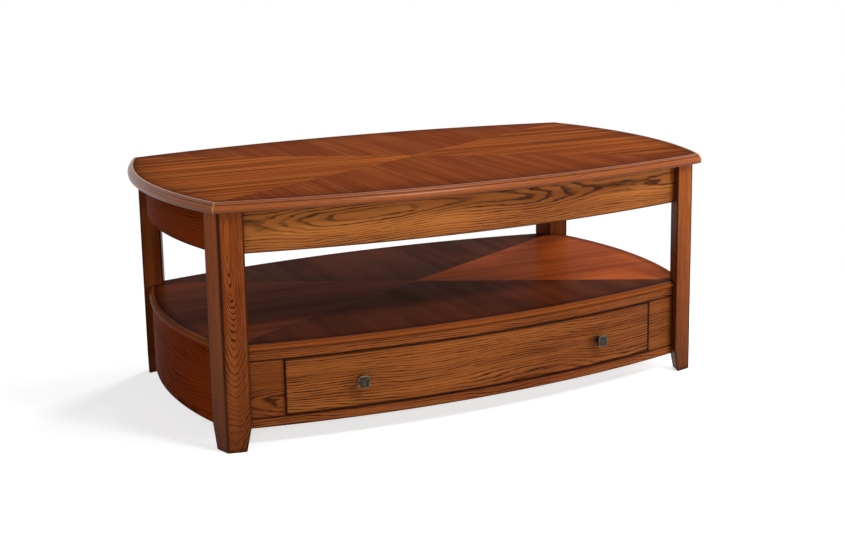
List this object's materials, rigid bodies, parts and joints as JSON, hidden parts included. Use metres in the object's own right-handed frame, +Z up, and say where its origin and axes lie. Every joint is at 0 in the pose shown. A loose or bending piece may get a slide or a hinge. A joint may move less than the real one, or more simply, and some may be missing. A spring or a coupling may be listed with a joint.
{
  "type": "lift top coffee table",
  "caption": "Bow-sided wooden coffee table with a lift-up top on parallel arms, an open shelf over a low case, and a bowed drawer with square-headed knobs.",
  "frame": {"origin": "On the floor under the middle of the table, between the four feet.", "axes": "+Z up, +X along the length to the right as seen from the drawer side, the drawer front faces -Y."},
  "size_m": [1.1998, 0.7458, 0.483],
  "materials": {
    "oak": "satin stained oak",
    "veneer": "gloss stained oak veneer",
    "moulding": "gloss stained oak",
    "shelf": "satin dark stained veneer",
    "lining": "matt stained plywood",
    "drawer_box": "clear sealed hardwood",
    "bronze": "dark aged bronze",
    "slide_steel": "zinc plated",
    "lift_steel": "black powder coat",
    "bumper": "matt rubber"
  },
  "bodies": {
    "frame": {"leg_front_left": "oak", "leg_front_right": "oak", "leg_back_left": "oak", "leg_back_right": "oak", "apron_front": "oak", "apron_back": "oak", "apron_left": "oak", "apron_right": "oak", "compartment_floor": "lining", "compartment_side_left": "lining", "compartment_side_right": "lining", "corner_blocks": "lining", "top_bumpers": "bumper", "shelf_panel": "shelf", "shelf_edge_front": "moulding", "shelf_edge_back": "moulding", "shelf_edge_left": "moulding", "shelf_edge_right": "moulding", "case_back": "oak", "case_left": "oak", "case_right": "oak", "rail_upper": "oak", "rail_lower": "oak", "stile_left": "oak", "stile_right": "oak", "case_bottom": "lining", "runner_panel_left": "lining", "runner_panel_right": "lining", "slide_case_left": "slide_steel", "slide_case_right": "slide_steel", "lift_base_left": "lift_steel", "lift_base_right": "lift_steel", "lower_pins": "slide_steel", "lift_spring_left": "slide_steel", "lift_spring_right": "slide_steel"},
    "lift_arms": {"front_arm_left": "lift_steel", "front_arm_right": "lift_steel", "sync_bar": "lift_steel"},
    "rear_arm_l": {"rear_arm_left": "lift_steel"},
    "rear_arm_r": {"rear_arm_right": "lift_steel"},
    "top": {"top_panel": "veneer", "top_edge_front": "moulding", "top_edge_back": "moulding", "top_edge_left": "moulding", "top_edge_right": "moulding", "lift_hanger_left": "lift_steel", "lift_hanger_right": "lift_steel", "upper_pins": "slide_steel"},
    "drawer": {"drawer_front": "oak", "drawer_side_left": "drawer_box", "drawer_side_right": "drawer_box", "drawer_back": "drawer_box", "drawer_bottom": "drawer_box", "knob_left": "bronze", "knob_right": "bronze", "slide_drawer_left": "slide_steel", "slide_drawer_right": "slide_steel"},
    "slide_middle_l": {"slide_middle_left": "slide_steel"},
    "slide_middle_r": {"slide_middle_right": "slide_steel"}
  },
  "joints": [
    {"name": "lift_hinge", "type": "hinge", "parent": "frame", "child": "lift_arms", "pos_m": [0, -0.1762, 0.43], "axis": [1, 0, 0], "range_deg": [0, 130], "deforming": ["lift_spring_left", "lift_spring_right"]},
    {"name": "top_level", "type": "hinge", "parent": "lift_arms", "child": "top", "pos_m": [0, 0.0388, 0.43], "axis": [1, 0, 0], "range_deg": [-130, 0]},
    {"name": "rear_hinge_left", "type": "hinge", "parent": "frame", "child": "rear_arm_l", "pos_m": [-0.4267, -0.12001, 0.4038], "axis": [1, 0, 0], "range_deg": [0, 130]},
    {"name": "rear_hinge_right", "type": "hinge", "parent": "frame", "child": "rear_arm_r", "pos_m": [0.4267, -0.12001, 0.4038], "axis": [1, 0, 0], "range_deg": [0, 130]},
    {"name": "drawer_slide", "type": "slide", "parent": "frame", "child": "drawer", "axis": [0, -1, 0], "range_m": [0, 0.35]},
    {"name": "slide_left", "type": "slide", "parent": "frame", "child": "slide_middle_l", "axis": [0, -1, 0], "range_m": [0, 0.175]},
    {"name": "slide_right", "type": "slide", "parent": "frame", "child": "slide_middle_r", "axis": [0, -1, 0], "range_m": [0, 0.175]}
  ],
  "couplings": [
    {"joint": "top_level", "follows": "lift_hinge", "ratio": -1},
    {"joint": "rear_hinge_left", "follows": "lift_hinge", "ratio": 1},
    {"joint": "rear_hinge_right", "follows": "lift_hinge", "ratio": 1},
    {"joint": "slide_left", "follows": "drawer_slide", "ratio": 0.5},
    {"joint": "slide_right", "follows": "drawer_slide", "ratio": 0.5}
  ]
}
